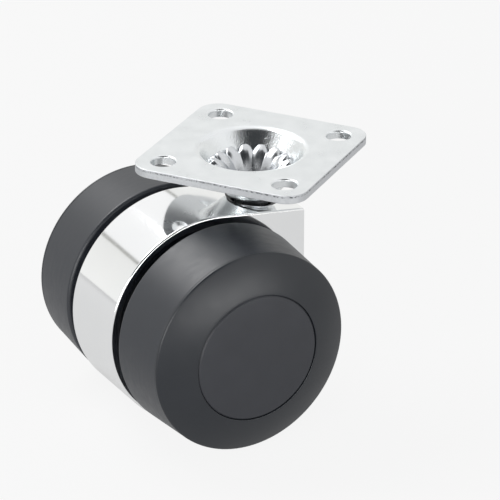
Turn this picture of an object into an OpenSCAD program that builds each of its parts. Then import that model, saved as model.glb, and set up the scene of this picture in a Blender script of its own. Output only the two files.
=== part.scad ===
// Twin-wheel swivel castor with a plug-in mounting plate, in millimetres.
// The origin is the centre of the plate's top face, on the swivel axis, and +Z is up.
// The block with the socket faces +X. The axle lies along Y and trails towards -X.
// Sections written in r and z are turned round their own axis; a wheel's z starts at
// the castor's middle plane and points outwards along the axle.

/* [Mounting plate] */
// Side of the square plate
plate_side = 42; // [40:0.5:60]
// Thickness of the sheet
plate_t = 2; // [1.6:0.1:2.4]
// Radius of the plate's corners
plate_corner_r = 5; // [2:0.5:7]
// Turn of the plate about the swivel axis when the castor points along X
plate_turn = 35; // [0:1:89]
// Distance of the screw holes from the plate's sides
hole_inset = 6; // [5:0.25:7]
// Diameter of the screw holes
hole_d = 5.6; // [4:0.1:6]
// Chamfer at the top of a screw hole
hole_edge = 0.3; // [0.1:0.05:0.5]
// Diameter of the pressed dish at the plate's top face
dish_d = 24.6; // [23.6:0.2:26]
// Depth from the top face to the underside of the dish's floor
dish_depth = 10.8; // [10:0.1:11.6]
// Slope of the dish's wall away from the swivel axis
dish_angle = 40; // [36:1:42]
// Radius of the dish's lip, and of the blend below it
lip_r = 2.2; // [1:0.1:3]
// Radius round the foot of the dish
foot_r = 1; // [0.5:0.1:1.4]

/* [Swivel pin] */
// Diameter of the pin
pin_d = 8.5; // [8:0.1:8.8]
// Length of the pin below the dish
pin_len = 26.2; // [22:0.2:30]
// Radius round the pin's tip
tip_r = 1.2; // [0.6:0.1:1.8]
// Width of the shoulder under the dish, round the staked shank
pin_shoulder = 0.85; // [0.6:0.05:1.2]
// Radius that the staked head reaches on the dish's wall
head_r = 9.4; // [8.4:0.1:10]
// Thickness of the head's flared wall
head_t = 1.2; // [0.9:0.1:1.5]
// Number of lobes that the staking tool leaves round the head
head_lobes = 14; // [8:1:18]
// Width of the notch between two lobes at its mouth
notch_w = 2.6; // [1.6:0.1:3]
// Depth of the notches
notch_depth = 1.2; // [1:0.1:2.6]
// Direction of the first notch
notch_turn = 6; // [0:1:44]
// Depth of the middle of the ring groove below the dish
groove_drop = 18; // [14:0.2:19]

/* [Snap ring] */
// Diameter of the ring's round wire
wire_d = 1.8; // [1.4:0.1:2]
// Height of the ring over the pin's surface when it sits in the socket
ring_proud = 0.2; // [0.1:0.05:0.25]
// Angle of the ring's gap
ring_gap = 22; // [12:1:40]
// Direction of the gap
ring_turn = 60; // [0:5:355]

/* [Socket sleeve] */
// Wall of the sleeve
sleeve_wall = 1.6; // [1.4:0.1:1.8]
// Thickness of the sleeve's closed floor
sleeve_floor = 1.6; // [1:0.1:2.5]
// Depth of the sleeve's rim below the housing's deck
rim_drop = 0.3; // [0.1:0.1:0.6]
// Width of the bevel round the mouth
mouth_bevel = 0.9; // [0.5:0.1:1.2]

/* [Housing] */
// Width of the housing along the axle
body_w = 18.8; // [17.6:0.2:22]
// Height of the hood over the wheels' largest radius
hood_proud = 0.3; // [0:0.1:1]
// Thickness of the hood
hood_t = 2.4; // [1.8:0.1:3.2]
// Angle below the level of the axle at which the hood ends behind
hood_end = 50; // [30:1:55]
// Slope of the deck down towards the front
deck_slope = 8; // [5:0.5:10]
// Distance of the axle behind the swivel axis
trail = 16.6; // [15.8:0.1:18]
// Wall in front of the socket
front_wall = 2.5; // [1.8:0.1:4]
// Wall behind the socket
back_wall = 2; // [1.6:0.1:3]
// Floor below the socket
block_floor = 2; // [1.5:0.1:4]
// Radius of the polished edges
edge_r = 0.5; // [0.4:0.1:1.2]
// Radius at the lower front of the block
nose_r = 5; // [2:0.5:6]
// Thickness of the web between hood, block and axle boss
web_t = 4; // [3:0.2:6]
// Wall of the axle boss
boss_wall = 3; // [2:0.25:3.5]
// Radius where the web runs into the hood and the boss
web_blend_r = 1.5; // [0.8:0.1:2]

/* [Axle] */
// Diameter of the axle
axle_d = 6; // [5:0.5:7]
// Chamfer at the ends of the axle
axle_edge = 0.5; // [0.3:0.1:0.8]
// Length of the axle beyond each clip
axle_end = 0.6; // [0.4:0.1:0.8]
// Thickness of the spacer between housing and hub
spacer_t = 1; // [0.8:0.1:1.5]
// Width of the spacer's ring
spacer_w = 2.5; // [2:0.25:3]
// Thickness of the steel washer outside the hub
washer_t = 0.8; // [0.5:0.1:1]
// Width of the steel washer's ring
washer_w = 3; // [2:0.25:4]
// Thickness of the push-on clip
clip_t = 0.5; // [0.4:0.1:0.6]
// Height of the clip's turned-up rim
clip_rim = 1; // [0.8:0.1:1.1]
// Width of the clip's ring
clip_w = 2.5; // [2:0.25:3.5]
// Number of slits between the clip's teeth
clip_slits = 6; // [4:1:8]
// Width of a slit
slit_w = 0.8; // [0.5:0.1:1]

/* [Wheels] */
// Largest diameter of a wheel, at its inner side
wheel_d = 50; // [48:0.5:50.4]
// Gap between the housing and the wheel's tread
wheel_gap = 2.7; // [2:0.1:3.5]
// Width of the tread
tread_w = 15.3; // [14:0.1:18]
// Fall of the tread's radius from its inner to its outer side
tread_fall = 1.1; // [0.4:0.1:1.6]
// Radius of the tread's inner edge
tread_edge_r = 0.8; // [0.4:0.1:1.4]
// Thickness of the tread at its inner side
tread_t = 3.4; // [3:0.1:4]
// Wall of the wheel's moulding
wall = 2; // [1.6:0.1:2.4]
// Thickness of the lip that covers the outer side of the tread
lip_t = 0.6; // [0.4:0.1:1]
// Rise of the side face from the lip to the hub cap
face_rise = 3.5; // [2.5:0.1:4.2]
// Swell of the side face over a straight cone
face_swell = 0.3; // [0.1:0.05:0.6]
// Wall of the hub
hub_wall = 3.15; // [2.5:0.05:4]
// Number of ribs inside a wheel
wheel_ribs = 8; // [6:1:12]
// Thickness of a rib
rib_t = 1.6; // [1.2:0.1:2.2]
// Depth of the rim's edge behind the tread's inner side
rim_setback = 0.5; // [0.2:0.1:0.5]
// Thickness of the dust cover on the wheel's inner side
cover_t = 1.2; // [1:0.1:1.6]
// Depth of the dust cover behind the tread's inner side
cover_drop = 1; // [0.5:0.1:2]

/* [Hub cap] */
// Diameter of the recess that holds the cap
cap_d = 30.2; // [28:0.2:31]
// Thickness of the cap at its edge
cap_t = 1.5; // [1.2:0.1:1.8]
// Wall of the cap's face inside the skirt
cap_wall = 1; // [0.8:0.1:1.1]
// Swell of the cap's face
cap_swell = 0.75; // [0.4:0.05:1.2]
// Bevel round the cap's edge
cap_bevel = 0.35; // [0.2:0.05:0.5]
// Width of the ledge that the cap rests on
ledge_w = 1.6; // [1.2:0.1:2]
// Depth of the hub's chamber below the ledge
chamber_depth = 2.2; // [2:0.1:2.6]
// Thickness of the cap's snap skirt
skirt_t = 1.2; // [1:0.1:1.6]
// Length of the snap skirt
skirt_len = 1.5; // [1:0.1:1.8]

/* [Clearances] */
// Running clearance round the axle and in the ring groove
run_gap = 0.05; // [0.03:0.01:0.08]
// Clearance between pieces that are pressed or bonded together
fit_gap = 0.02; // [0.01:0.01:0.04]
// Clearance of the snap ring in the sleeve's bore
grip_gap = 0.05; // [0.02:0.01:0.08]
// Clearance between flat faces that turn on each other
face_gap = 0.05; // [0.03:0.01:0.1]
// Clearance of the dish's foot over the highest point of the socket's mouth
foot_gap = 0.4; // [0.3:0.1:1]
// Visible gap round the hub cap
cap_gap = 0.15; // [0.1:0.05:0.25]

/* [Hidden] */
near = -1;
far = 1;
// Overshoot of a cut past the face that it leaves through
over = 1;
// Overlap of a blend's arc with the sides that it touches, so that they meet at an edge
seam = 0.0005;
$fn = 96;

// Swivel pin
pin_r = pin_d / 2;
shank_r = pin_r - pin_shoulder;
foot_z = -dish_depth;
tip_z = foot_z - pin_len;
groove_z = foot_z - groove_drop;
ring_r = pin_r + ring_proud;
ring_mid_r = ring_r - wire_d / 2;
groove_root_r = ring_mid_r - wire_d / 2 - run_gap;
hole_at = plate_side / 2 - hole_inset;
dish_tan = tan(dish_angle);
dish_normal = [-cos(dish_angle), sin(dish_angle)];
dish_floor_z = foot_z + plate_t;

// Radius of the dish's inner wall at a height
function dish_wall_r(z) = dish_d / 2 + z * dish_tan;
// Radius of the dish's outer wall at a height
function dish_outer_r(z) = dish_wall_r(z) + plate_t / cos(dish_angle);

// Housing
sleeve_r = ring_r + grip_gap;
socket_r = sleeve_r + sleeve_wall + fit_gap;
hood_r = wheel_d / 2 + hood_proud;
slope_normal = [sin(deck_slope), cos(deck_slope)];
mouth_z = foot_z - foot_gap - socket_r * tan(deck_slope);
axle_x = -trail;
axle_z = mouth_z - (hood_r - trail * sin(deck_slope)) / cos(deck_slope);
axle_at = [axle_x, axle_z];
socket_floor_z = tip_z - face_gap - sleeve_floor;
block_bottom = socket_floor_z - block_floor;
front_x = socket_r + front_wall;
back_x = -socket_r - back_wall;
hood_start = 90 - deck_slope;
hood_stop = 180 + hood_end;
hood_inner_r = hood_r - hood_t;
boss_r = axle_d / 2 + boss_wall;

// Height of the deck's plane at a distance in front of the swivel axis
function deck_z(x) = mouth_z - x * tan(deck_slope);
function dir(a) = [cos(a), sin(a)];

// Wheel and axle, as distances from the middle plane
axle_r = axle_d / 2;
hub_bore_r = axle_r + run_gap;
hub_r = hub_bore_r + hub_wall;
hub_in = body_w / 2 + spacer_t + 2 * face_gap;
wheel_in = body_w / 2 + wheel_gap;
tread_out = wheel_in + tread_w;
shoulder = tread_out + lip_t;
shoulder_r = wheel_d / 2 - tread_fall;
rim_r = wheel_d / 2 - tread_t;
rim_inner_r = rim_r - wall;
cap_r = cap_d / 2;
cap_top = shoulder + face_rise;
ledge = cap_top - cap_t;
chamber_r = cap_r - ledge_w;
chamber_floor = ledge - chamber_depth;
washer_z = chamber_floor + face_gap;
clip_z = washer_z + washer_t + face_gap;
axle_half = clip_z + clip_rim + axle_end;
cover_z = wheel_in + cover_drop;
rib_z = cover_z + cover_t + fit_gap;
// Slope of the straight cone under the side face
face_fall = face_rise / (shoulder_r - cap_r);

// Height of the side face's straight cone at a radius
function face_z(r) = shoulder + (shoulder_r - r) * face_fall;

// Corner between two straight sides that leave p at the angles a and b, up to the arc
// of radius r that touches both: cut off a solid it rounds an edge, added it fills one
module corner(p, a, b, r) {
    half = (b - a) / 2;
    mid = (a + b) / 2;
    centre = p + r / sin(half) * dir(mid);
    reach = r / tan(half);
    difference() {
        polygon([p - 0.1 * dir(mid), p + reach * dir(a), centre, p + reach * dir(b)]);
        translate(centre) circle(r + seam);
    }
}

// Segment of a circle that swells by h to the left of the line from a to b
module swell(a, b, h) {
    chord = norm(b - a);
    r = chord * chord / (8 * h) + h / 2;
    along = (b - a) / chord;
    left = [-along[1], along[0]];
    intersection() {
        translate((a + b) / 2 + (h - r) * left) circle(r, $fn = 720);
        polygon([a, b, b + 2 * h * left, a + 2 * h * left]);
    }
}

// A section in x and z, drawn out to a width along Y
module across(width) {
    rotate([90, 0, 0]) linear_extrude(width, center = true) children();
}

// A wheel's piece, turned so that its z points outwards along the axle
module on_axle(side) {
    translate([axle_x, 0, axle_z]) rotate([-90 * side, 0, 0]) children();
}

module ring_disc(outer_r, inner_r, from, to) {
    rotate_extrude()
        polygon([[inner_r, from], [outer_r, from], [outer_r, to], [inner_r, to]]);
}

module rounded_square(side, r) {
    square([side, side - 2 * r], center = true);
    square([side - 2 * r, side], center = true);
    for (x = [-1, 1], y = [-1, 1])
        translate([x, y] * (side / 2 - r)) circle(r);
}

module screw_hole() {
    translate([0, 0, -plate_t - over]) cylinder(d = hole_d, h = plate_t + 2 * over);
    translate([0, 0, -hole_edge])
        cylinder(r1 = hole_d / 2, r2 = hole_d / 2 + hole_edge + over, h = hole_edge + over);
}

// Pressed sheet steel: a square plate with a conical dish for the pin's staked head
module mounting_plate() {
    lip = [dish_d / 2, 0];
    under = [dish_outer_r(-plate_t), -plate_t];
    foot = [dish_outer_r(foot_z), foot_z];
    down = -90 - dish_angle;
    color("silver") difference() {
        union() {
            rotate([0, 0, plate_turn]) translate([0, 0, -plate_t])
                linear_extrude(plate_t) rounded_square(plate_side, plate_corner_r);
            rotate_extrude() difference() {
                union() {
                    polygon([
                        [0, foot_z], foot, under, [under[0], -plate_t / 2], [0, -plate_t / 2]
                    ]);
                    corner(under, down, 0, lip_r);
                }
                corner(foot, 90 - dish_angle, 180, foot_r);
            }
        }
        rotate_extrude() {
            polygon([
                [0, over], [lip[0], over], lip,
                [dish_wall_r(dish_floor_z), dish_floor_z], [0, dish_floor_z]
            ]);
            corner(lip, down, 0, lip_r);
        }
        translate([0, 0, foot_z - over])
            cylinder(r = shank_r + fit_gap, h = plate_t + 2 * over);
        rotate([0, 0, plate_turn])
            for (x = [-1, 1], y = [-1, 1])
                translate([x, y, 0] * hole_at) screw_hole();
    }
}

// Turned steel pin: its shank is staked into a lobed star that lies on the dish's wall
module stem_pin() {
    wall_offset = fit_gap / cos(dish_angle);
    head_z = (head_r - dish_d / 2) / dish_tan;
    seat_r = dish_wall_r(dish_floor_z + fit_gap) - wall_offset;
    rim = [head_r - wall_offset, head_z];
    rim_in = rim + head_t * dish_normal;
    cup_z = dish_floor_z + head_t;
    cup_r = rim_in[0] - (rim_in[1] - cup_z) * dish_tan;
    color("lightgray") difference() {
        rotate_extrude() difference() {
            polygon([
                [0, tip_z], [pin_r, tip_z], [pin_r, foot_z], [shank_r, foot_z],
                [shank_r, dish_floor_z + fit_gap], [seat_r, dish_floor_z + fit_gap],
                rim, rim_in, [cup_r, cup_z], [0, cup_z]
            ]);
            corner([pin_r, tip_z], 90, 180, tip_r);
            translate([groove_root_r, groove_z - wire_d / 2 - run_gap])
                square([pin_r, wire_d + 2 * run_gap]);
        }
        for (i = [0 : head_lobes - 1])
            rotate([0, 0, notch_turn + i * 360 / head_lobes]) rotate([90, 0, 90])
                linear_extrude(dish_d / 2)
                    polygon([
                        [0, rim_in[1] - notch_depth],
                        [notch_w / 2, rim_in[1]],
                        [notch_w / 2, over],
                        [-notch_w / 2, over],
                        [-notch_w / 2, rim_in[1]]
                    ]);
    }
}

// Open ring of round spring wire, blackened, that grips the socket's sleeve
module snap_ring() {
    color("dimgray") translate([0, 0, groove_z]) rotate([0, 0, ring_turn + ring_gap / 2])
        rotate_extrude(angle = 360 - ring_gap)
            translate([ring_mid_r, 0]) circle(d = wire_d, $fn = 48);
}

// Half space above the deck's plane, shifted along the plane's normal
module above_deck(shift) {
    reach = 4 * hood_r;
    translate([0, 0, mouth_z]) rotate([0, deck_slope, 0])
        translate([-reach / 2, -reach / 2, shift]) cube(reach);
}

// Moulded plastic cup that lines the socket; the pin's tip turns on its floor
module socket_sleeve() {
    color("#1c1c1e") difference() {
        translate([0, 0, socket_floor_z])
            cylinder(r = socket_r - fit_gap, h = deck_z(-socket_r) - socket_floor_z);
        above_deck(-rim_drop);
        translate([0, 0, tip_z - face_gap]) cylinder(r = sleeve_r, h = -tip_z);
        translate([0, 0, mouth_z - rim_drop - mouth_bevel])
            cylinder(r1 = sleeve_r, r2 = sleeve_r + mouth_bevel + over, h = mouth_bevel + over);
    }
}

// Cross-section of the hood or the deck: its top is at y = 0 and has polished edges
module hood_section(depth) {
    difference() {
        translate([-body_w / 2, -depth]) square([body_w, depth]);
        corner([body_w / 2, 0], 180, 270, edge_r);
        corner([-body_w / 2, 0], 270, 360, edge_r);
    }
}

// The band that wraps round the back between the wheels
module hood() {
    translate([axle_x, 0, axle_z]) rotate([90, 0, 0])
        rotate([0, 0, hood_start])
            rotate_extrude(angle = hood_stop - hood_start, $fn = 180)
                translate([hood_r, 0]) rotate(-90) hood_section(hood_t);
}

// The sloping deck and the square block round the socket, under one polished skin
module deck_and_block() {
    skin_len = 2 * hood_r;
    skin_depth = 2 * hood_r;
    tangent_at = sin(deck_slope) * (mouth_z - axle_z) - cos(deck_slope) * trail;
    front_top = [front_x, deck_z(front_x)];
    difference() {
        intersection() {
            translate([0, 0, mouth_z]) rotate([0, deck_slope, 0])
                translate([tangent_at, 0, 0]) rotate([90, 0, 90])
                    linear_extrude(skin_len) hood_section(skin_depth);
            translate([0, 0, block_bottom]) linear_extrude(skin_depth)
                rotate(-90) translate([0, front_x]) hood_section(skin_len);
            across(body_w + 2 * over) polygon([
                axle_at + (hood_r + over) * slope_normal,
                front_top + [0, over],
                [front_x, block_bottom],
                [back_x, block_bottom],
                [back_x, deck_z(back_x) - hood_t / cos(deck_slope)],
                axle_at + hood_inner_r * slope_normal
            ]);
        }
        across(body_w + 2 * over) {
            corner(front_top, 180 - deck_slope, 270, edge_r);
            corner([front_x, block_bottom], 90, 180, nose_r);
            corner([back_x, block_bottom], 0, 90, web_blend_r);
        }
    }
}

// Outline of the web: the hood's inside, and the stretch from the boss to the block
module web_outline() {
    reach = 2 * hood_r;
    mid_r = hood_inner_r + hood_t / 2;
    intersection() {
        translate(axle_at) circle(mid_r, $fn = 180);
        polygon([
            axle_at,
            for (k = [0 : 4])
                axle_at + reach * dir(hood_start + k * (hood_stop - hood_start) / 4)
        ]);
    }
    polygon([
        axle_at - [boss_r, 0],
        axle_at + [0, hood_inner_r + edge_r],
        [back_x + back_wall / 2, deck_z(back_x) - hood_t / 2],
        [back_x + back_wall / 2, block_bottom + web_blend_r],
        axle_at - [0, boss_r]
    ]);
}

// The boss for the axle, which flares where it comes out of the web
module axle_boss() {
    root = web_t / 4;
    flare_r = boss_r + web_blend_r + root;
    flare_in = web_t / 2 - root;
    flare_out = web_t / 2 + web_blend_r;
    on_axle(far) rotate_extrude() polygon([
        [0, -body_w / 2], [boss_r, -body_w / 2], [boss_r, -flare_out], [flare_r, -flare_in],
        [flare_r, flare_in], [boss_r, flare_out], [boss_r, body_w / 2], [0, body_w / 2]
    ]);
}

// Die-cast and chrome-plated: hood, deck, block, web and axle boss in one piece
module housing() {
    color("gainsboro") difference() {
        union() {
            hood();
            deck_and_block();
            across(web_t) web_outline();
            axle_boss();
        }
        translate([0, 0, socket_floor_z]) cylinder(r = socket_r, h = -socket_floor_z);
        across(body_w + 2 * over) translate(axle_at) circle(axle_r + fit_gap);
    }
}

// Plain steel rod, pressed into the housing's boss
module axle() {
    color("lightgray") translate([axle_x, 0, axle_z]) rotate([90, 0, 0]) rotate_extrude()
        polygon([
            [0, -axle_half],
            [axle_r - axle_edge, -axle_half],
            [axle_r, -axle_half + axle_edge],
            [axle_r, axle_half - axle_edge],
            [axle_r - axle_edge, axle_half],
            [0, axle_half]
        ]);
}

// Nylon spacer that keeps the hub off the boss
module spacer() {
    color("ivory")
        ring_disc(axle_r + spacer_w, axle_r + fit_gap, hub_in - face_gap - spacer_t, hub_in - face_gap);
}

// Steel washer between the turning hub and the fixed clip
module hub_washer() {
    color("silver") ring_disc(axle_r + washer_w, axle_r + fit_gap, washer_z, washer_z + washer_t);
}

// Push-on spring clip: a slit disc with a turned-up rim
module axle_clip() {
    bore_r = axle_r + fit_gap;
    outer_r = axle_r + clip_w;
    color("darkgray") difference() {
        rotate_extrude() polygon([
            [bore_r, clip_z],
            [outer_r, clip_z],
            [outer_r, clip_z + clip_rim],
            [outer_r - clip_t, clip_z + clip_rim],
            [outer_r - clip_t, clip_z + clip_t],
            [bore_r, clip_z + clip_t]
        ]);
        for (i = [0 : clip_slits - 1])
            rotate([0, 0, i * 360 / clip_slits]) translate([0, -slit_w / 2, clip_z - over])
                cube([outer_r - 2 * clip_t, slit_w, clip_t + 2 * over]);
    }
}

// One rib in r and z, from the hub to the rim, rooted in the wheel's side wall
module rib_outline() {
    root = wall / 2;
    polygon([
        [hub_r - root, rib_z],
        [rim_inner_r + root, rib_z],
        [rim_inner_r + root, face_z(rim_inner_r + root) - root],
        [cap_r + root, face_z(cap_r + root) - root],
        [chamber_r, chamber_floor - root],
        [hub_r - root, chamber_floor - root]
    ]);
}

// Moulded wheel centre: rim, domed side face, recess for the cap, hub and ribs
module wheel_core() {
    color("#3a3c40") {
        rotate_extrude() {
            polygon([
                [hub_bore_r, hub_in],
                [hub_r, hub_in],
                [hub_r, chamber_floor - wall],
                [chamber_r + wall / 2, chamber_floor - wall],
                [cap_r + wall, face_z(cap_r + wall) - wall],
                [rim_inner_r, face_z(rim_inner_r) - wall],
                [rim_inner_r, wheel_in + rim_setback],
                [rim_r, wheel_in + rim_setback],
                [rim_r, tread_out + fit_gap],
                [shoulder_r, tread_out + fit_gap],
                [shoulder_r, shoulder],
                [cap_r, cap_top],
                [cap_r, ledge],
                [chamber_r, ledge],
                [chamber_r, chamber_floor],
                [hub_bore_r, chamber_floor]
            ]);
            swell([cap_r, cap_top], [shoulder_r, shoulder], face_swell);
        }
        for (i = [0 : wheel_ribs - 1])
            rotate([0, 0, (i + 0.5) * 360 / wheel_ribs])
                rotate([90, 0, 0]) linear_extrude(rib_t, center = true) rib_outline();
    }
}

// Soft tread moulded round the rim, tapering a little towards the outside
module wheel_tread() {
    inner = rim_r + fit_gap;
    lean = atan(tread_fall / tread_w);
    color("#74777c") rotate_extrude() difference() {
        polygon([
            [inner, wheel_in],
            [wheel_d / 2, wheel_in],
            [shoulder_r, tread_out],
            [inner, tread_out]
        ]);
        corner([wheel_d / 2, wheel_in], 90 + lean, 180, tread_edge_r);
    }
}

// Plastic disc pressed into the rim, which closes the wheel towards the housing
module dust_cover() {
    color("#26272a")
        ring_disc(rim_inner_r - fit_gap, hub_r + run_gap, cover_z, cover_z + cover_t);
}

// Domed snap-in disc that covers the axle's end
module hub_cap() {
    outer_r = cap_r - cap_gap;
    skirt_r = chamber_r - run_gap;
    seat = ledge + fit_gap;
    edge_z = cap_top - cap_bevel;
    inside = cap_top - cap_wall;
    bevel_r = outer_r - cap_bevel;
    dome_r = (bevel_r * bevel_r + cap_swell * cap_swell) / (2 * cap_swell);
    color("#34363a") rotate_extrude() intersection() {
        polygon([
            [0, inside],
            [skirt_r - skirt_t, inside],
            [skirt_r - skirt_t, seat - skirt_len],
            [skirt_r, seat - skirt_len],
            [skirt_r, seat],
            [outer_r, seat],
            [outer_r, edge_z],
            [bevel_r - over, cap_top + over],
            [0, cap_top + over]
        ]);
        translate([0, cap_top + cap_swell - dome_r]) circle(dome_r, $fn = 720);
    }
}

mounting_plate();
stem_pin();
snap_ring();
socket_sleeve();
housing();
axle();
on_axle(near) spacer();  // spacer_near
on_axle(far) spacer();  // spacer_far
on_axle(near) wheel_core();  // wheel_core_near
on_axle(far) wheel_core();  // wheel_core_far
on_axle(near) wheel_tread();  // wheel_tread_near
on_axle(far) wheel_tread();  // wheel_tread_far
on_axle(near) dust_cover();  // dust_cover_near
on_axle(far) dust_cover();  // dust_cover_far
on_axle(near) hub_washer();  // hub_washer_near
on_axle(far) hub_washer();  // hub_washer_far
on_axle(near) axle_clip();  // axle_clip_near
on_axle(far) axle_clip();  // axle_clip_far
on_axle(near) hub_cap();  // hub_cap_near
on_axle(far) hub_cap();  // hub_cap_far
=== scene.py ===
import math

import bmesh
import bpy
from mathutils import Matrix, Vector


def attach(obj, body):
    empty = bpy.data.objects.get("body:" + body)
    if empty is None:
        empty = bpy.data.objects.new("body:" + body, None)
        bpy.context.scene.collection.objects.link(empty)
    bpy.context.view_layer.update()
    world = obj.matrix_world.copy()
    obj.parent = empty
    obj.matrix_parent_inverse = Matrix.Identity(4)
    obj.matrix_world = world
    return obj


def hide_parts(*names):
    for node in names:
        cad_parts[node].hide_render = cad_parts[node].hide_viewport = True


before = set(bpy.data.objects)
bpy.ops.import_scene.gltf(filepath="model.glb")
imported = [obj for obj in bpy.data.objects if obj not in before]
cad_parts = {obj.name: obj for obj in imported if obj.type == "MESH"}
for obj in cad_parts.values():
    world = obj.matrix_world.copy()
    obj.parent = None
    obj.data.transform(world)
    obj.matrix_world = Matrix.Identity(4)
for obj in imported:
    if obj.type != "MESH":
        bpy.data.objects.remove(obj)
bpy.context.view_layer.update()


# Mounting plate: 2 mm sheet steel, blanked square and pressed into a conical dish, then
# bright zinc plated. The blanking die leaves the cut edges grey and slightly torn, and
# takes the sharpness off the rims of the plate and of its screw holes.

def linear(hex_colour):
    """An sRGB hex value as the linear colour that a shader works with."""
    parts = [int(hex_colour[i:i + 2], 16) / 255 for i in (1, 3, 5)]
    return [c / 12.92 if c <= 0.04045 else ((c + 0.055) / 1.055) ** 2.4 for c in parts] + [1]


def add_node(tree, kind, inputs=None, **settings):
    """A node with its settings, and with its inputs set or linked."""
    made = tree.nodes.new(kind)
    for key, value in settings.items():
        setattr(made, key, value)
    for key, value in (inputs or {}).items():
        if isinstance(value, bpy.types.NodeSocket):
            tree.links.new(value, made.inputs[key])
        else:
            made.inputs[key].default_value = value
    return made


def new_finish(name):
    """An empty material, its tree, and the object's own coordinates in metres."""
    material = bpy.data.materials.new(name)
    material.use_nodes = True
    tree = material.node_tree
    tree.nodes.clear()
    return material, tree, add_node(tree, "ShaderNodeTexCoord").outputs["Object"]


def even_normals(piece, crease):
    """Shades a piece smoothly up to the crease angle, with its large faces kept flat."""
    piece.data.shade_smooth()
    piece.data.set_sharp_from_angle(angle=math.radians(crease))
    weights = piece.modifiers.new("Even normals", "WEIGHTED_NORMAL")
    weights.keep_sharp = True
    weights.weight = 80
    settle(piece)


def settle(piece):
    """Turns what the modifiers make into the piece's own mesh."""
    shaped = bpy.data.meshes.new_from_object(
        piece.evaluated_get(bpy.context.evaluated_depsgraph_get()))
    shaped.name = piece.name
    piece.modifiers.clear()
    piece.data = shaped


def new_piece(name, data):
    """An object for a mesh, a lamp or a camera, put in the scene."""
    piece = bpy.data.objects.new(name, data)
    bpy.context.scene.collection.objects.link(piece)
    return piece


def dress(piece, material):
    """Gives a piece this one material."""
    piece.data.materials.clear()
    piece.data.materials.append(material)


def joined_copy(node, name):
    """A copy of a solid's loose triangles, merged, with its flat faces made whole."""
    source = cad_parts[node].data
    mesh = bpy.data.meshes.new(name)
    shape = bmesh.new()
    shape.from_mesh(source)
    bmesh.ops.remove_doubles(shape, verts=shape.verts, dist=2e-7)
    bmesh.ops.dissolve_degenerate(shape, dist=1e-7, edges=shape.edges)
    bmesh.ops.dissolve_limit(
        shape, angle_limit=math.radians(0.2), verts=shape.verts, edges=shape.edges)
    shape.to_mesh(mesh)
    shape.free()
    return new_piece(name, mesh)


# Sizes in metres. The cut edge's grey starts at edge_start inside the outline and is full
# at edge_full, and the dish's frost starts at its lip and is full on its wall.
plate_turn = math.radians(35)
plate_side, plate_corner = 0.042, 0.005
edge_start, edge_full = 0.00014, 0.00005
dish_lip_r, dish_wall_r = 0.0125, 0.0112
rim_width = 0.00018

zinc, tree, place = new_finish("Bright zinc plate on pressed steel")
# Zinc plate scatters light in soft clouds of a few millimetres over the sheet's fine
# rolled grain; the blanked edge is duller, with a broken dark line where the sheet tore.
on_plate = add_node(tree, "ShaderNodeMapping", {
    "Vector": place, "Rotation": (0, 0, plate_turn)}, vector_type="TEXTURE").outputs[0]
clouds = add_node(tree, "ShaderNodeTexNoise", {
    "Vector": on_plate, "Scale": 1 / 0.005, "Detail": 3, "Roughness": 0.55}).outputs[0]
grain = add_node(tree, "ShaderNodeTexNoise", {
    "Vector": on_plate, "Scale": 1 / 0.00035, "Detail": 2, "Roughness": 0.6}).outputs[0]
tears = add_node(tree, "ShaderNodeTexNoise", {
    "Vector": on_plate, "Scale": 1 / 0.0006, "Detail": 3, "Roughness": 0.7}).outputs[0]
apart = add_node(tree, "ShaderNodeSeparateXYZ", {0: on_plate})
across = add_node(tree, "ShaderNodeMath", {0: apart.outputs[0]}, operation="ABSOLUTE").outputs[0]
along = add_node(tree, "ShaderNodeMath", {0: apart.outputs[1]}, operation="ABSOLUTE").outputs[0]
# How far a point lies out from the square on which the corners' centres are
square = plate_side / 2 - plate_corner
middle = add_node(tree, "ShaderNodeCombineXYZ", {0: across, 1: along}).outputs[0]
past = add_node(tree, "ShaderNodeVectorMath", {
    0: middle, 1: (square, square, 0)}, operation="SUBTRACT").outputs[0]
past = add_node(tree, "ShaderNodeVectorMath", {
    0: past, 1: (0, 0, 0)}, operation="MAXIMUM").outputs[0]
past = add_node(tree, "ShaderNodeVectorMath", {0: past}, operation="LENGTH").outputs["Value"]
cut_edge = add_node(tree, "ShaderNodeMapRange", {
    "Value": past, "From Min": plate_corner - edge_start,
    "From Max": plate_corner - edge_full}).outputs[0]
tone = add_node(tree, "ShaderNodeMix", {
    0: clouds, 6: linear("#E3E7E9"), 7: linear("#EEF0F1")}, data_type="RGBA").outputs[2]
torn = add_node(tree, "ShaderNodeMix", {
    0: tears, 6: linear("#B8BBBF"), 7: linear("#E2E4E6")}, data_type="RGBA").outputs[2]
# The tear runs 0.3 to 0.5 mm under the top and fades out by 0.15 and 0.75 mm
above = add_node(tree, "ShaderNodeMapRange", {
    "Value": apart.outputs[2], "From Min": -0.00075, "From Max": -0.0005}).outputs[0]
below = add_node(tree, "ShaderNodeMapRange", {
    "Value": apart.outputs[2], "From Min": -0.00015, "From Max": -0.0003}).outputs[0]
torn_band = add_node(tree, "ShaderNodeMath", {
    0: above, 1: below}, operation="MULTIPLY").outputs[0]
broken = add_node(tree, "ShaderNodeMapRange", {
    "Value": tears, "From Min": 0.46, "From Max": 0.6}).outputs[0]
tear_line = add_node(tree, "ShaderNodeMath", {
    0: torn_band, 1: broken}, operation="MULTIPLY").outputs[0]
torn = add_node(tree, "ShaderNodeMix", {
    0: tear_line, 6: torn, 7: linear("#505458")}, data_type="RGBA").outputs[2]
colour = add_node(tree, "ShaderNodeMix", {
    0: cut_edge, 6: tone, 7: torn}, data_type="RGBA").outputs[2]
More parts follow.
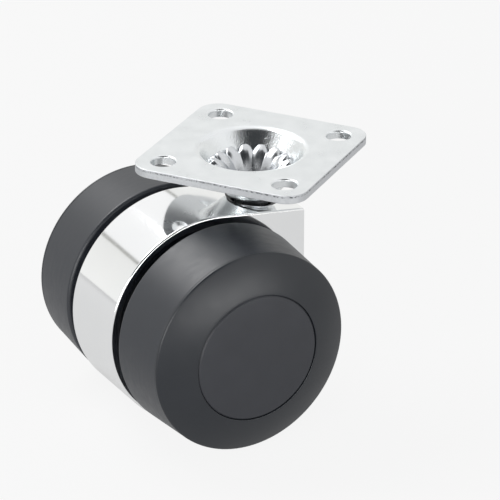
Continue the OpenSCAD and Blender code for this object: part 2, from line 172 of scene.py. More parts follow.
# Drawing the dish burnishes its wall and leaves a light frost on it, drawn at 0.4 mm
reach = add_node(tree, "ShaderNodeVectorMath", {0: middle}, operation="LENGTH").outputs["Value"]
drawn = add_node(tree, "ShaderNodeMapRange", {
    "Value": reach, "From Min": dish_lip_r, "From Max": dish_wall_r}).outputs[0]
frost = add_node(tree, "ShaderNodeTexNoise", {
    "Vector": on_plate, "Scale": 1 / 0.0004, "Detail": 2, "Roughness": 0.7}).outputs[0]
soft = add_node(tree, "ShaderNodeMapRange", {
    "Value": clouds, "From Min": 0.3, "From Max": 0.7, "To Min": 0.26, "To Max": 0.36}).outputs[0]
soft = add_node(tree, "ShaderNodeMix", {0: drawn, 2: soft, 3: 0.14}).outputs[0]
rough = add_node(tree, "ShaderNodeMix", {0: cut_edge, 2: soft, 3: 0.42}).outputs[0]
height = add_node(tree, "ShaderNodeMix", {0: cut_edge, 2: grain, 3: tears}).outputs[0]
flat = add_node(tree, "ShaderNodeBump", {
    "Height": height, "Strength": 0.12, "Distance": 0.00002}).outputs[0]
frosted = add_node(tree, "ShaderNodeMath", {0: drawn, 1: frost}, operation="MULTIPLY").outputs[0]
relief = add_node(tree, "ShaderNodeBump", {
    "Height": frosted, "Strength": 1.0, "Distance": 0.00008, "Normal": flat}).outputs[0]
shader = add_node(tree, "ShaderNodeBsdfPrincipled", {
    "Base Color": colour, "Metallic": 1.0, "Roughness": rough, "Normal": relief})
add_node(tree, "ShaderNodeOutputMaterial", {"Surface": shader.outputs[0]})

plate = joined_copy("mounting_plate", "plate_pressing")
rims = plate.modifiers.new("Dulled rims", "BEVEL")
rims.width = rim_width
rims.segments = 3
rims.limit_method = "ANGLE"
rims.angle_limit = math.radians(40)
settle(plate)
even_normals(plate, 50)
dress(plate, zinc)
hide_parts("mounting_plate")
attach(plate, "plate")


# Swivel pin: turned from bright steel bar, with a groove for the snap ring. Its upper end
# is staked through the dish with a toothed punch, which spreads it into a star of lobes
# against the dish's wall.

def fillet(section, steps=6):
    """A closed section whose corners (r, z, radius) are rounded to their radius."""
    eased = []
    for i, (r, z, radius) in enumerate(section):
        corner = Vector((r, z))
        before = (Vector(section[i - 1][:2]) - corner).normalized()
        after = (Vector(section[(i + 1) % len(section)][:2]) - corner).normalized()
        half = before.angle(after) / 2 if radius else 0
        if not radius or abs(half - math.pi / 2) < 0.01:
            eased.append((r, z))
            continue
        centre = corner + (before + after).normalized() * radius / math.sin(half)
        start = corner + before * radius / math.tan(half) - centre
        turn = start.angle_signed(corner + after * radius / math.tan(half) - centre)
        for k in range(steps + 1):
            spoke = start.copy()
            spoke.rotate(Matrix.Rotation(-turn * k / steps, 2))
            eased.append(tuple(centre + spoke))
    return eased


def turned(name, section, place_point, count=160):
    """Turns a closed section of points (r, z); place_point puts each point where it goes."""
    shape = bmesh.new()
    rings = []
    for k in range(count):
        a = 2 * math.pi * k / count
        rings.append([shape.verts.new(place_point(r, z, a)) for r, z in section])
    for k, ring in enumerate(rings):
        following = rings[(k + 1) % count]
        for i in range(len(section)):
            j = (i + 1) % len(section)
            if section[i][0] < 1e-9 and section[j][0] < 1e-9:
                continue
            shape.faces.new((ring[i], ring[j], following[j], following[i]))
    bmesh.ops.remove_doubles(shape, verts=shape.verts, dist=1e-7)
    bmesh.ops.dissolve_degenerate(shape, dist=1e-8, edges=shape.edges)
    bmesh.ops.recalc_face_normals(shape, faces=shape.faces)
    mesh = bpy.data.meshes.new(name)
    shape.to_mesh(mesh)
    shape.free()
    return new_piece(name, mesh)


def upright_axis(r, z, a):
    """A point round the swivel axis, from millimetres."""
    return r * math.cos(a) / 1000, r * math.sin(a) / 1000, z / 1000


def joined_loops(shape, loops):
    """Faces between each closed loop of points and the next."""
    for first, second in zip(loops, loops[1:]):
        for i in range(len(first)):
            j = (i + 1) % len(first)
            shape.faces.new((first[i], first[j], second[j], second[i]))


def new_shaper(name, inputs):
    """A geometry node tree that makes one shape from named inputs, and its input node."""
    tree = bpy.data.node_groups.new(name, "GeometryNodeTree")
    for label, kind in inputs:
        tree.interface.new_socket(label, in_out="INPUT", socket_type="NodeSocket" + kind)
    tree.interface.new_socket("Shape", in_out="OUTPUT", socket_type="NodeSocketGeometry")
    return tree, add_node(tree, "NodeGroupInput")


def shape_piece(piece, tree, values):
    """Gives a node tree its inputs on a piece, and keeps the shape that it makes."""
    modifier = piece.modifiers.new("Shape", "NODES")
    modifier.node_group = tree
    for socket in tree.interface.items_tree:
        if socket.name in values:
            modifier[socket.identifier] = values[socket.name]
    settle(piece)


def repeated_round(piece, count, axis, centre, material):
    """Repeats a piece round an axis through a centre, and closes the seams between copies."""
    tree, given = new_shaper("Repeat round an axis", (
        ("Shape", "Geometry"), ("Copies", "Int"), ("Axis", "Vector"), ("Centre", "Vector"),
        ("Finish", "Material")))
    index = add_node(tree, "GeometryNodeInputIndex").outputs[0]
    share = add_node(tree, "ShaderNodeMath", {
        0: index, 1: given.outputs["Copies"]}, operation="DIVIDE").outputs[0]
    angle = add_node(tree, "ShaderNodeMath", {
        0: share, 1: 2 * math.pi}, operation="MULTIPLY").outputs[0]
    turn = add_node(tree, "FunctionNodeAxisAngleToRotation", {
        "Axis": given.outputs["Axis"], "Angle": angle}).outputs[0]
    points = add_node(tree, "GeometryNodePoints", {
        "Count": given.outputs["Copies"], "Position": given.outputs["Centre"]}).outputs[0]
    copies = add_node(tree, "GeometryNodeInstanceOnPoints", {
        "Points": points, "Instance": given.outputs["Shape"], "Rotation": turn}).outputs[0]
    whole = add_node(tree, "GeometryNodeRealizeInstances", {0: copies}).outputs[0]
    closed = add_node(tree, "GeometryNodeMergeByDistance", {
        "Geometry": whole, "Distance": 2e-6}).outputs[0]
    finished = add_node(tree, "GeometryNodeSetMaterial", {
        "Geometry": closed, "Material": given.outputs["Finish"]}).outputs[0]
    add_node(tree, "NodeGroupOutput", {0: finished})
    shape_piece(piece, tree, {
        "Copies": count, "Axis": axis, "Centre": centre, "Finish": material})


bright_steel, tree, place = new_finish("Bright turned steel")
# A fine feed leaves rings round the pin, drawn at 0.2 mm so that they show.
stretched = add_node(tree, "ShaderNodeMapping", {
    "Vector": place, "Scale": (0.05, 0.05, 1)}).outputs[0]
feed = add_node(tree, "ShaderNodeTexNoise", {
    "Vector": stretched, "Scale": 1 / 0.0002, "Detail": 2, "Roughness": 0.6}).outputs[0]
stain = add_node(tree, "ShaderNodeTexNoise", {
    "Vector": place, "Scale": 1 / 0.003, "Detail": 3, "Roughness": 0.5}).outputs[0]
colour = add_node(tree, "ShaderNodeMix", {
    0: stain, 6: linear("#C2C5C9"), 7: linear("#DCDEE0")}, data_type="RGBA").outputs[2]
rough = add_node(tree, "ShaderNodeMapRange", {
    "Value": stain, "From Min": 0.3, "From Max": 0.7, "To Min": 0.18, "To Max": 0.3}).outputs[0]
relief = add_node(tree, "ShaderNodeBump", {
    "Height": feed, "Strength": 0.3, "Distance": 0.00002}).outputs[0]
shader = add_node(tree, "ShaderNodeBsdfPrincipled", {
    "Base Color": colour, "Metallic": 1.0, "Roughness": rough, "Normal": relief})
add_node(tree, "ShaderNodeOutputMaterial", {"Surface": shader.outputs[0]})

# Sizes in millimetres: radii round the swivel axis, and heights from the plate's top
pin_r, pin_tip, pin_shoulder = 4.25, -37.0, -10.8
groove_r, groove_low, groove_top = 2.6, -29.75, -27.85
shank_r, head_foot = 3.4, -8.78
dimple_r, dimple_z = 4.33, -7.6
pin = turned("swivel_pin", fillet([
    (0, pin_tip, 0), (pin_r, pin_tip, 1.2), (pin_r, groove_low, 0.15),
    (groove_r, groove_low, 0.2), (groove_r, groove_top, 0.2), (pin_r, groove_top, 0.15),
    (pin_r, pin_shoulder, 0.1), (shank_r, pin_shoulder, 0), (shank_r, head_foot, 0),
    (5.43, head_foot, 0), (6.07, -8.0, 0), (dimple_r, dimple_z, 0.3),
    (0, dimple_z, 0)]), upright_axis)
even_normals(pin, 35)
dress(pin, bright_steel)

head_lobes, lobe_steps = 14, 16
notch_depth, notch_turn = 1.2, math.radians(6)
# Within this share of a lobe's half width the notches leave its crest whole
whole_crest = 0.3
lobe_bulge = 0.25
lobe = bpy.data.meshes.new("lobe")
shape = bmesh.new()
columns = []
for k in range(lobe_steps + 1):
    share = 2 * k / lobe_steps - 1
    a = notch_turn + (1 + share) * math.pi / head_lobes
    # The punch's tooth leaves a rounded notch at both sides of a lobe, and sinks the crest
    # along the dish's wall, which comes in by 0.84 for each 1 down
    sunk = notch_depth * max(0, (abs(share) - whole_crest) / (1 - whole_crest)) ** 1.4
    moved_in = 0.84 * sunk
    crown = lobe_bulge * (1 - share * share)
    crest = ((9.37 - moved_in, -3.46 - sunk), (9.1 - moved_in, -3.05 - sunk),
             (8.75 + 0.3 * crown - moved_in, -2.78 - sunk), (8.35 - moved_in, -2.85 - sunk))
    inner_side = ((7.0 - crown, -3.6 - 0.35 * sunk), (5.5 - 0.4 * crown, -5.35),
                  (dimple_r, dimple_z))
    columns.append([shape.verts.new(upright_axis(r, z, a))
                    for r, z in ((5.3, head_foot), *crest, *inner_side)])
joined_loops(shape, columns)
bmesh.ops.recalc_face_normals(shape, faces=shape.faces)
shape.to_mesh(lobe)
shape.free()
head = new_piece("staked_head", lobe)
repeated_round(head, head_lobes, (0, 0, 1), (0, 0, 0), bright_steel)
even_normals(head, 50)
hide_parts("stem_pin")
for piece in (pin, head):
    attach(piece, "plate")


# Snap ring: 1.8 mm spring wire, coiled to an open ring, hardened and blackened in oil. It
# sits in the pin's groove and grips the sleeve when the castor is pushed on.

blackened, tree, place = new_finish("Oil-blackened spring steel")
# The oxide is nearly black and satin, with faint brown clouds of about a millimetre.
clouds = add_node(tree, "ShaderNodeTexNoise", {
    "Vector": place, "Scale": 1 / 0.001, "Detail": 3, "Roughness": 0.6}).outputs[0]
colour = add_node(tree, "ShaderNodeMix", {
    0: clouds, 6: linear("#141416"), 7: linear("#2B2826")}, data_type="RGBA").outputs[2]
rough = add_node(tree, "ShaderNodeMapRange", {
    "Value": clouds, "To Min": 0.28, "To Max": 0.5}).outputs[0]
shader = add_node(tree, "ShaderNodeBsdfPrincipled", {
    "Base Color": colour, "Metallic": 0.7, "Roughness": rough})
add_node(tree, "ShaderNodeOutputMaterial", {"Surface": shader.outputs[0]})

# Sizes in millimetres; the ring lies at the middle of the groove's height
ring_r, wire_r = 3.55, 0.9
ring_z = (groove_low + groove_top) / 2
ring_start, ring_sweep = math.radians(71), math.radians(338)
tree, given = new_shaper("Open wire ring", (
    ("Shape", "Geometry"), ("Radius", "Float"), ("Wire", "Float"), ("Start", "Float"),
    ("Sweep", "Float"), ("Height", "Float"), ("Finish", "Material")))
path = add_node(tree, "GeometryNodeCurveArc", {
    "Resolution": 96, "Radius": given.outputs["Radius"], "Start Angle": given.outputs["Start"],
    "Sweep Angle": given.outputs["Sweep"]}).outputs[0]
wire = add_node(tree, "GeometryNodeCurvePrimitiveCircle", {
    "Resolution": 24, "Radius": given.outputs["Wire"]}).outputs[0]
bent = add_node(tree, "GeometryNodeCurveToMesh", {
    "Curve": path, "Profile Curve": wire, "Fill Caps": True}).outputs[0]
lift = add_node(tree, "ShaderNodeCombineXYZ", {2: given.outputs["Height"]}).outputs[0]
lifted = add_node(tree, "GeometryNodeTransform", {
    "Geometry": bent, "Translation": lift}).outputs[0]
whole = add_node(tree, "GeometryNodeRealizeInstances", {0: lifted}).outputs[0]
finished = add_node(tree, "GeometryNodeSetMaterial", {
    "Geometry": whole, "Material": given.outputs["Finish"]}).outputs[0]
add_node(tree, "NodeGroupOutput", {0: finished})
ring = new_piece("wire_ring", bpy.data.meshes.new("wire_ring"))
shape_piece(ring, tree, {
    "Radius": ring_r / 1000, "Wire": wire_r / 1000, "Start": ring_start, "Sweep": ring_sweep,
    "Height": ring_z / 1000, "Finish": blackened})
even_normals(ring, 50)
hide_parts("snap_ring")
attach(ring, "ring")


# Socket sleeve: a black acetal cup pressed into the housing, which the pin turns in. Its
# bevelled mouth lies just under the deck.

acetal, tree, place = new_finish("Moulded black acetal")
# Acetal is slippery and slightly waxy, with the mould's fine matt grain of 0.3 mm.
grain = add_node(tree, "ShaderNodeTexNoise", {
    "Vector": place, "Scale": 1 / 0.0003, "Detail": 2, "Roughness": 0.5}).outputs[0]
sheen = add_node(tree, "ShaderNodeTexNoise", {
    "Vector": place, "Scale": 1 / 0.004, "Detail": 2, "Roughness": 0.5}).outputs[0]
colour = add_node(tree, "ShaderNodeMix", {
    0: sheen, 6: linear("#101012"), 7: linear("#1C1C1F")}, data_type="RGBA").outputs[2]
rough = add_node(tree, "ShaderNodeMapRange", {
    "Value": sheen, "To Min": 0.3, "To Max": 0.45}).outputs[0]
relief = add_node(tree, "ShaderNodeBump", {
    "Height": grain, "Strength": 0.3, "Distance": 0.00001}).outputs[0]
shader = add_node(tree, "ShaderNodeBsdfPrincipled", {
    "Base Color": colour, "Roughness": rough, "IOR": 1.48, "Normal": relief})
add_node(tree, "ShaderNodeOutputMaterial", {"Surface": shader.outputs[0]})

sleeve = joined_copy("socket_sleeve", "sleeve_cup")
even_normals(sleeve, 30)
dress(sleeve, acetal)
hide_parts("socket_sleeve")
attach(sleeve, "castor")


# Housing: a zinc die-casting, polished and chrome plated. A hood between the wheels runs
# into a sloping deck and a square block for the socket; inside, a web holds the axle boss.

chrome, tree, place = new_finish("Polished chrome plate")
# Chrome is a cool mirror. Polishing by hand leaves the casting wavy over about 9 mm, and
# fine wiping marks, drawn at 0.4 mm, vary the gloss a little.
waves = add_node(tree, "ShaderNodeTexNoise", {
    "Vector": place, "Scale": 1 / 0.009, "Detail": 1, "Roughness": 0.4}).outputs[0]
wiped = add_node(tree, "ShaderNodeTexNoise", {
    "Vector": place, "Scale": 1 / 0.0004, "Detail": 3, "Roughness": 0.6}).outputs[0]
rough = add_node(tree, "ShaderNodeMapRange", {
    "Value": wiped, "From Min": 0.35, "From Max": 0.7, "To Min": 0.05, "To Max": 0.1}).outputs[0]
tone = add_node(tree, "ShaderNodeMix", {
    0: waves, 6: linear("#F1F2F3"), 7: linear("#F6F7F7")}, data_type="RGBA").outputs[2]
relief = add_node(tree, "ShaderNodeBump", {
    "Height": waves, "Strength": 0.25, "Distance": 0.00006}).outputs[0]
shader = add_node(tree, "ShaderNodeBsdfPrincipled", {
    "Base Color": tone, "Metallic": 1.0, "Roughness": rough, "Normal": relief})
add_node(tree, "ShaderNodeOutputMaterial", {"Surface": shader.outputs[0]})

# Sizes in millimetres. Angles round the axle are in degrees: the hood's arc runs from its
# lower end up to where the deck leaves it.
axle_x, axle_z = -16.6, -35.2758
half_width, skin_edge = 9.4, 0.5
slope, deck_z, deck_wall = math.radians(8), -12.0601, 2.424
hood_r, hood_inner_r, hood_end, deck_start = 25.3, 22.9, 230, 82
block_front, block_back, block_floor = 8.62, -8.12, -40.65
front_round, back_round = 5, 1.5
socket_r, socket_floor = 6.12, -38.65
boss_r, boss_bore_r, web_half = 6, 3.02, 2


def round_axle(radius, degrees):
    """A point of the middle plane round the axle, in millimetres."""
    a = math.radians(degrees)
    return Vector((axle_x + radius * math.cos(a), axle_z + radius * math.sin(a)))


def deck_height(x):
    """How high the deck's top is above a place along the castor."""
    return deck_z - x * math.tan(slope)


# The outline of the casting's side, with each point's way in from the polished skin. The
# points of the underside stay where they are.
outline = [(round_axle(hood_r, a), round_axle(0, 0) - round_axle(1, a))
           for a in range(hood_end, deck_start - 1, -2)]
down_deck = Vector((-math.sin(slope), -math.cos(slope)))
outline += [(Vector((x, deck_height(x))), down_deck) for x in (-10, -7, 0, 7)]
nose = Vector((block_front - skin_edge, deck_height(block_front) - skin_edge))
for k in range(7):
    a = math.radians(deck_start - deck_start * k / 6)
    outward = Vector((math.cos(a), math.sin(a)))
    outline.append((nose + outward * skin_edge, -outward))
outline += [(Vector((block_front, z)), Vector((-1, 0))) for z in (-20, -28)]
still = Vector((0, 0))
for x, radius, first_angle, steps in (
        (block_front - front_round, front_round, 0, 12),
        (block_back + back_round, back_round, -90, 6)):
    for k in range(steps + 1):
        a = math.radians(first_angle - 90 * k / steps)
        outline.append((Vector((x + radius * math.cos(a),
                                block_floor + radius + radius * math.sin(a))), still))
outline.append((Vector((block_back, deck_height(block_back) - deck_wall)), still))
outline += [(round_axle(hood_inner_r, a), still) for a in range(deck_start, hood_end + 1, 2)]

casting = new_piece("housing_casting", bpy.data.meshes.new("housing_casting"))
shape = bmesh.new()
stations = []
for k in range(6):
    a = math.radians(90 * k / 5)
    stations.append((-half_width + skin_edge * (1 - math.cos(a)), skin_edge * (1 - math.sin(a))))
stations += [(-y, inset) for y, inset in reversed(stations)]
loops = [[shape.verts.new(((at + inward * inset).x / 1000, y / 1000,
                           (at + inward * inset).y / 1000))
          for at, inward in outline] for y, inset in stations]
joined_loops(shape, loops)
shape.faces.new(loops[0])
shape.faces.new(loops[-1])
bmesh.ops.remove_doubles(shape, verts=shape.verts, dist=1e-6)
bmesh.ops.recalc_face_normals(shape, faces=shape.faces)
shape.to_mesh(casting.data)
shape.free()

bore = turned("socket_bore", [
    (0, socket_floor), (socket_r, socket_floor), (socket_r, -5), (0, -5)], upright_axis, 96)
cut = casting.modifiers.new("Socket", "BOOLEAN")
cut.operation = "DIFFERENCE"
cut.solver = "EXACT"
cut.object = bore
settle(casting)
bpy.data.objects.remove(bore)


def on_axle(r, z, a, side=1):
    """A point round the axle, from millimetres; z runs out to the far side, or near for -1."""
    return ((axle_x + r * math.cos(a)) / 1000, side * z / 1000,
            (axle_z + r * math.sin(a)) / 1000)


# The boss swells to a flange inside the web, so that the two blend
boss = turned("axle_boss", fillet([
    (boss_bore_r, -half_width, 0.2), (boss_r, -half_width, 0.4), (boss_r, -3.5, 0.8),
    (8.5, -1, 0.1), (8.5, 1, 0.1), (boss_r, 3.5, 0.8), (boss_r, half_width, 0.4),
    (boss_bore_r, half_width, 0.2)]), on_axle, 96)

# The web's edge runs inside the walls and the boss that it joins
in_hood, in_block = (hood_r + hood_inner_r) / 2, block_back + 1
web = new_piece("web", bpy.data.meshes.new("web"))
edge = [round_axle(4.26, hood_end)]
edge += [round_axle(in_hood, a) for a in range(hood_end, deck_start - 1, -4)]
edge += [Vector((in_block, deck_height(block_back) - 1.2)),
         Vector((in_block, block_floor + back_round)), round_axle(boss_r, 270)]
shape = bmesh.new()
sides = [[shape.verts.new((at.x / 1000, y / 1000, at.y / 1000)) for at in edge]
         for y in (-web_half, web_half)]
for side in sides:
    shape.faces.new(side)
joined_loops(shape, sides)
bmesh.ops.recalc_face_normals(shape, faces=shape.faces)
shape.to_mesh(web.data)
shape.free()

shape = bmesh.new()
for piece in (casting, boss, web):
    shape.from_mesh(piece.data)
shape.to_mesh(casting.data)
shape.free()
bpy.data.objects.remove(boss)
bpy.data.objects.remove(web)
even_normals(casting, 32)
dress(casting, chrome)
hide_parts("housing")
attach(casting, "castor")


# Axle and its fittings: a steel rod pressed through the boss, nylon spacers beside the
# boss, and outside each hub a washer and a push-on clip. The hub caps hide them.

nylon, tree, place = new_finish("Natural nylon")
# Unpigmented nylon is a warm milky white with soft, waxy gloss.
clouds = add_node(tree, "ShaderNodeTexNoise", {
    "Vector": place, "Scale": 1 / 0.002, "Detail": 2, "Roughness": 0.5}).outputs[0]
colour = add_node(tree, "ShaderNodeMix", {
    0: clouds, 6: linear("#DCD5C0"), 7: linear("#ECE7D8")}, data_type="RGBA").outputs[2]
shader = add_node(tree, "ShaderNodeBsdfPrincipled", {
    "Base Color": colour, "Roughness": 0.38, "IOR": 1.53})
add_node(tree, "ShaderNodeOutputMaterial", {"Surface": shader.outputs[0]})

for node, finish in (("axle", bright_steel), ("spacer_near", nylon), ("spacer_far", nylon),
                     ("hub_washer_near", bright_steel), ("hub_washer_far", bright_steel),
                     ("axle_clip_near", blackened), ("axle_clip_far", blackened)):
    dress(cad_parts[node], finish)


# Wheels: each has a moulded centre with a domed side face and eight ribs inside, a softer
# tread moulded round its rim, and a plastic disc pressed in towards the housing.

wheel_plastic, tree, place = new_finish("Moulded dark grey wheel plastic")
# The side faces are smooth, cool grey and satin; the mould's polish is uneven over a few
# millimetres, and its faint grain is drawn at 0.8 mm.
clouds = add_node(tree, "ShaderNodeTexNoise", {
    "Vector": place, "Scale": 1 / 0.006, "Detail": 2, "Roughness": 0.5}).outputs[0]
grain = add_node(tree, "ShaderNodeTexNoise", {
    "Vector": place, "Scale": 1 / 0.0008, "Detail": 1, "Roughness": 0.4}).outputs[0]
colour = add_node(tree, "ShaderNodeMix", {
    0: clouds, 6: linear("#191D24"), 7: linear("#1F2329")}, data_type="RGBA").outputs[2]
rough = add_node(tree, "ShaderNodeMapRange", {
    "Value": clouds, "From Min": 0.3, "From Max": 0.7, "To Min": 0.32, "To Max": 0.4}).outputs[0]
relief = add_node(tree, "ShaderNodeBump", {
    "Height": grain, "Strength": 0.05, "Distance": 0.00001}).outputs[0]
shader = add_node(tree, "ShaderNodeBsdfPrincipled", {
    "Base Color": colour, "Roughness": rough, "IOR": 1.53, "Normal": relief})
add_node(tree, "ShaderNodeOutputMaterial", {"Surface": shader.outputs[0]})

cap_plastic, tree, place = new_finish("Moulded grey cap plastic")
# The caps come from a mould of their own: a little lighter than the wheel and more matt,
# with an unevenness over 5 mm.
clouds = add_node(tree, "ShaderNodeTexNoise", {
    "Vector": place, "Scale": 1 / 0.005, "Detail": 2, "Roughness": 0.5}).outputs[0]
colour = add_node(tree, "ShaderNodeMix", {
    0: clouds, 6: linear("#292B31"), 7: linear("#303238")}, data_type="RGBA").outputs[2]
rough = add_node(tree, "ShaderNodeMapRange", {
    "Value": clouds, "From Min": 0.3, "From Max": 0.7, "To Min": 0.38, "To Max": 0.44}).outputs[0]
shader = add_node(tree, "ShaderNodeBsdfPrincipled", {
    "Base Color": colour, "Roughness": rough, "IOR": 1.53})
add_node(tree, "ShaderNodeOutputMaterial", {"Surface": shader.outputs[0]})

soft_tread, tree, place = new_finish("Satin grey soft tread")
# The soft plastic is about as dark as the wheel's and more matt, with a fine dull grain of
# 0.4 mm and faint scuffs from rolling, a few millimetres long.
grain = add_node(tree, "ShaderNodeTexNoise", {
    "Vector": place, "Scale": 1 / 0.0004, "Detail": 3, "Roughness": 0.6}).outputs[0]
rolled = add_node(tree, "ShaderNodeMapping", {
    "Vector": place, "Scale": (0.35, 1, 0.35)}).outputs[0]
scuffs = add_node(tree, "ShaderNodeTexNoise", {
    "Vector": rolled, "Scale": 1 / 0.0012, "Detail": 4, "Roughness": 0.65}).outputs[0]
colour = add_node(tree, "ShaderNodeMix", {
    0: scuffs, 6: linear("#181C24"), 7: linear("#272B32")}, data_type="RGBA").outputs[2]
rough = add_node(tree, "ShaderNodeMapRange", {
    "Value": scuffs, "From Min": 0.3, "From Max": 0.7, "To Min": 0.38, "To Max": 0.48}).outputs[0]
relief = add_node(tree, "ShaderNodeBump", {
    "Height": grain, "Strength": 0.35, "Distance": 0.00001}).outputs[0]
shader = add_node(tree, "ShaderNodeBsdfPrincipled", {
    "Base Color": colour, "Roughness": rough, "IOR": 1.6, "Normal": relief})
add_node(tree, "ShaderNodeOutputMaterial", {"Surface": shader.outputs[0]})

# Sizes in millimetres: radii round the axle, and places out along it from the middle
wheel_r, shoulder_r, tread_bore_r, tread_in, tread_out = 25.0, 23.9, 21.62, 12.1, 27.4
hub_bore_r, hub_r, hub_in = 3.05, 6.2, 10.5
rim_r, rim_bore_r, rim_in, rim_lip = 21.6, 19.6, 12.6, 27.42
clip_room_r, clip_room_floor, cap_seat = 13.5, 27.8, 30.0
recess_r, face_edge, face_top, face_dome = 15.1, 28.0, 31.5, 0.3
rib_count, rib_half = 8, 0.8
rib_outline = [(5.2, 14.35), (20.6, 14.35), (20.6, 26.9), (16.1, 28.1), (13.5, 26.8), (5.2, 26.8)]
cap_r, cap_rim_r, cap_rise = 15.04, 14.6, 0.75
steps_round = 240

# The side face rises from the shoulder to the recess, and domes out on the way
face_rise, face_run = face_top - face_edge, shoulder_r - recess_r
face_out = Vector((face_rise, face_run)).normalized()
domed = []
for k in range(1, 12):
    share = k / 12
    bulge = face_out * 4 * face_dome * share * (1 - share)
    domed.append((shoulder_r - face_run * share + bulge.x,
                  face_edge + face_rise * share + bulge.y, 0))
cap_crown = []
for k in range(1, 16):
    share = 1 - k / 16
    cap_crown.append((cap_rim_r * share, face_top + cap_rise * (1 - share ** 2), 0))

for side, name in ((-1, "near"), (1, "far")):
    def on_this_side(r, z, a):
        """A point round the axle, with z outwards on this wheel's side."""
        return on_axle(r, z, a, side)

    tread = turned("tread_" + name, fillet([
        (tread_bore_r, tread_in, 0.25), (wheel_r, tread_in, 0.8), (shoulder_r, tread_out, 0.12),
        (tread_bore_r, tread_out, 0)]), on_this_side, steps_round)
    even_normals(tread, 40)
    dress(tread, soft_tread)
    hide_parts("wheel_tread_" + name)

    centre = turned("wheel_centre_" + name, fillet([
        (hub_bore_r, hub_in, 0.15), (hub_r, hub_in, 0.25), (hub_r, 25.8, 0.6), (14.5, 25.8, 0.6),
        (17.1, 28.7, 0.6), (rim_bore_r, 27.71, 0.6), (rim_bore_r, rim_in, 0.15),
        (rim_r, rim_in, 0.15), (rim_r, rim_lip, 0), (shoulder_r, rim_lip, 0),
        (shoulder_r, face_edge, 0.55), *domed, (recess_r, face_top, 0.15),
        (recess_r, cap_seat, 0), (clip_room_r, cap_seat, 0.1),
        (clip_room_r, clip_room_floor, 0.3), (hub_bore_r, clip_room_floor, 0)]),
        on_this_side, steps_round)
    even_normals(centre, 40)
    dress(centre, wheel_plastic)

    rib = bpy.data.meshes.new("rib")
    shape = bmesh.new()
    faces = [[shape.verts.new((r / 1000, side * z / 1000, y / 1000)) for r, z in rib_outline]
             for y in (-rib_half, rib_half)]
    for face in faces:
        shape.faces.new(face)
    joined_loops(shape, faces)
    bmesh.ops.recalc_face_normals(shape, faces=shape.faces)
    shape.to_mesh(rib)
    shape.free()
    ribs = new_piece("ribs_" + name, rib)
    repeated_round(ribs, rib_count, (0, 1, 0), (axle_x / 1000, 0, axle_z / 1000), wheel_plastic)
    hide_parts("wheel_core_" + name)

    cover = joined_copy("dust_cover_" + name, "inner_disc_" + name)
    even_normals(cover, 30)
    dress(cover, acetal)
    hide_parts("dust_cover_" + name)

    # Hub cap: a moulded disc with a shallow dome, snapped into the recess of the side face
    cap = turned("cap_" + name, fillet([
        (0, 30.5, 0), (12.25, 30.5, 0.2), (12.25, 28.52, 0.1), (13.45, 28.52, 0.2),
        (13.45, 30.02, 0), (cap_r, 30.02, 0.1), (cap_r, 31.15, 0.12),
        (cap_rim_r, face_top, 0.12), *cap_crown, (0, face_top + cap_rise, 0)]),
        on_this_side, steps_round)
    even_normals(cap, 40)
    dress(cap, cap_plastic)
    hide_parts("hub_cap_" + name)

    for piece, slot in ((tread, "soft_tread"), (centre, "moulded_wheel_plastic"),
                        (ribs, "moulded_wheel_plastic"), (cover, "black_acetal"),
                        (cap, "moulded_wheel_plastic")):
        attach(piece, name + "_wheel")


# Studio: a pale floor under the wheels, soft boxes and a pale room, and the camera at the
# photograph's angle.

# Places and sizes in metres; the floor lies a hair under the wheels
ground_z = -0.0603
floor = new_piece("floor", bpy.data.meshes.new("floor"))
shape = bmesh.new()
bmesh.ops.create_grid(shape, x_segments=1, y_segments=1, size=3)
bmesh.ops.translate(shape, verts=shape.verts, vec=(0, 0, ground_z))
shape.to_mesh(floor.data)
shape.free()
pale, tree, place = new_finish("Pale studio floor")
shader = add_node(tree, "ShaderNodeBsdfPrincipled", {
    "Base Color": linear("#B8B8B8"), "Roughness": 0.9, "Specular IOR Level": 0.1})
# Seen directly the floor is nearly white and in the metal a little greyer, and it keeps a
# soft shadow
white = add_node(tree, "ShaderNodeEmission", {"Color": (1, 1, 1, 1), "Strength": 1.0})
ray = add_node(tree, "ShaderNodeLightPath")
mirrored = add_node(tree, "ShaderNodeMath", {
    0: ray.outputs["Is Glossy Ray"],
    1: ray.outputs["Is Transmission Ray"]}, operation="MAXIMUM").outputs[0]
seen = add_node(tree, "ShaderNodeMath", {
    0: ray.outputs["Is Camera Ray"], 1: 0.89}, operation="MULTIPLY").outputs[0]
lit = add_node(tree, "ShaderNodeMath", {
    0: mirrored, 1: 0.56, 2: seen}, operation="MULTIPLY_ADD").outputs[0]
surface = add_node(tree, "ShaderNodeMixShader", {
    0: lit, 1: shader.outputs[0], 2: white.outputs[0]})
# It is clear from below, so that it never hides the castor's underside
surface = add_node(tree, "ShaderNodeMixShader", {
    0: add_node(tree, "ShaderNodeNewGeometry").outputs["Backfacing"], 1: surface.outputs[0],
    2: add_node(tree, "ShaderNodeBsdfTransparent").outputs[0]})
add_node(tree, "ShaderNodeOutputMaterial", {"Surface": surface.outputs[0]})
dress(floor, pale)
# The castor stands on the floor, also when the plate is pulled off it upwards
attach(floor, "castor")

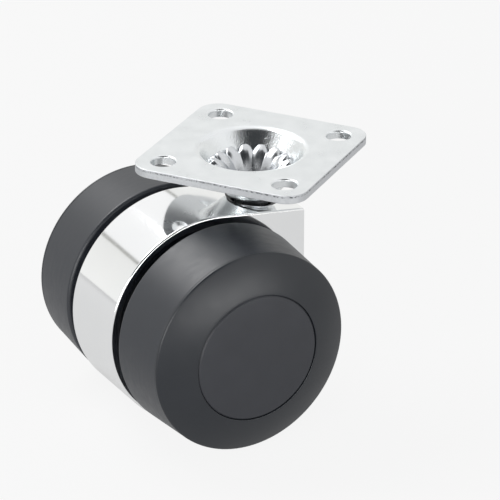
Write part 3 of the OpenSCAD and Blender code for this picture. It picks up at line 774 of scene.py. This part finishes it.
world = bpy.data.worlds.new("Studio room")
bpy.context.scene.world = world
world.use_nodes = True
tree = world.node_tree
tree.nodes.clear()
ray = add_node(tree, "ShaderNodeLightPath")
shown = add_node(tree, "ShaderNodeMath", {
    0: ray.outputs["Is Camera Ray"],
    1: ray.outputs["Is Glossy Ray"]}, operation="MAXIMUM").outputs[0]
shown = add_node(tree, "ShaderNodeMath", {
    0: shown, 1: ray.outputs["Is Transmission Ray"]}, operation="MAXIMUM").outputs[0]
towards = add_node(tree, "ShaderNodeTexCoord").outputs["Generated"]
up = add_node(tree, "ShaderNodeSeparateXYZ", {0: towards}).outputs[2]
room = add_node(tree, "ShaderNodeValToRGB", {0: up})
room.color_ramp.elements[0].color = linear("#FCFCFA")
room.color_ramp.elements[1].color = linear("#FFFFFF")
# The tent's side is a little greyer than its roof, and a dark seam joins the two
for spot, colour in ((0.415, "#F2F2F0"), (0.428, "#A8A8A4"), (0.438, "#A8A8A4"),
                     (0.455, "#FFFFFF")):
    room.color_ramp.elements.new(spot).color = linear(colour)
# High on the left the tent is open, and the unlit room shows there
to_opening = Vector((-0.38, -0.42, 0.82)).normalized()
opening = add_node(tree, "ShaderNodeVectorMath", {
    0: towards, 1: to_opening}, operation="DOT_PRODUCT").outputs["Value"]
unlit = add_node(tree, "ShaderNodeMapRange", {
    "Value": opening, "From Min": 0.76,
    "From Max": 0.9}, interpolation_type="SMOOTHSTEP").outputs[0]
room = add_node(tree, "ShaderNodeMix", {
    0: unlit, 6: room.outputs[0], 7: linear("#3C3E40")}, data_type="RGBA").outputs[2]
# Behind the castor the backdrop is plain white
room = add_node(tree, "ShaderNodeMix", {
    0: ray.outputs["Is Camera Ray"], 6: room, 7: (1, 1, 1, 1)}, data_type="RGBA").outputs[2]
backdrop = add_node(tree, "ShaderNodeBackground", {"Color": room, "Strength": 1.0})
soft_light = add_node(tree, "ShaderNodeBackground", {"Color": (1, 1, 1, 1), "Strength": 0.35})
both = add_node(tree, "ShaderNodeMixShader", {
    0: shown, 1: soft_light.outputs[0], 2: backdrop.outputs[0]})
add_node(tree, "ShaderNodeOutputWorld", {"Surface": both.outputs[0]})

lit_spot = Vector((-0.01, 0, -0.03))
for name, spot, width, height, power in (
        ("overhead box", (-0.24, 0.52, 0.72), 0.6, 0.4, 4.6),
        ("left box", (-0.74, -0.44, 0.16), 0.5, 0.36, 3.2),
        ("front box", (0.1, -0.8, 0.05), 0.7, 0.2, 1.6)):
    lamp = bpy.data.lights.new(name, "AREA")
    lamp.shape = "RECTANGLE"
    lamp.size, lamp.size_y, lamp.energy = width, height, power
    box = new_piece(name, lamp)
    box.location = spot
    box.rotation_euler = (Vector(spot) - lit_spot).to_track_quat("Z", "Y").to_euler()

# The camera's angles, and in millimetres how far it is right of, over and back from the axle
azimuth, elevation = math.radians(-30.063), math.radians(25.482)
aside, above_axle, distance = 13.99, 12.30, 727.5
back = Vector((math.sin(azimuth) * math.cos(elevation),
               -math.cos(azimuth) * math.cos(elevation), math.sin(elevation)))
right = Vector((math.cos(azimuth), math.sin(azimuth), 0))
over = back.cross(right)
camera = new_piece("camera", bpy.data.cameras.new("camera"))
camera.data.sensor_width = 36
camera.data.lens = 228.22
camera.location = (Vector((axle_x, 0, axle_z)) + right * aside + over * above_axle
                   + back * distance) / 1000
camera.rotation_euler = Matrix((right, over, back)).transposed().to_euler()
bpy.context.scene.camera = camera
bpy.context.scene.view_settings.view_transform = "Standard"
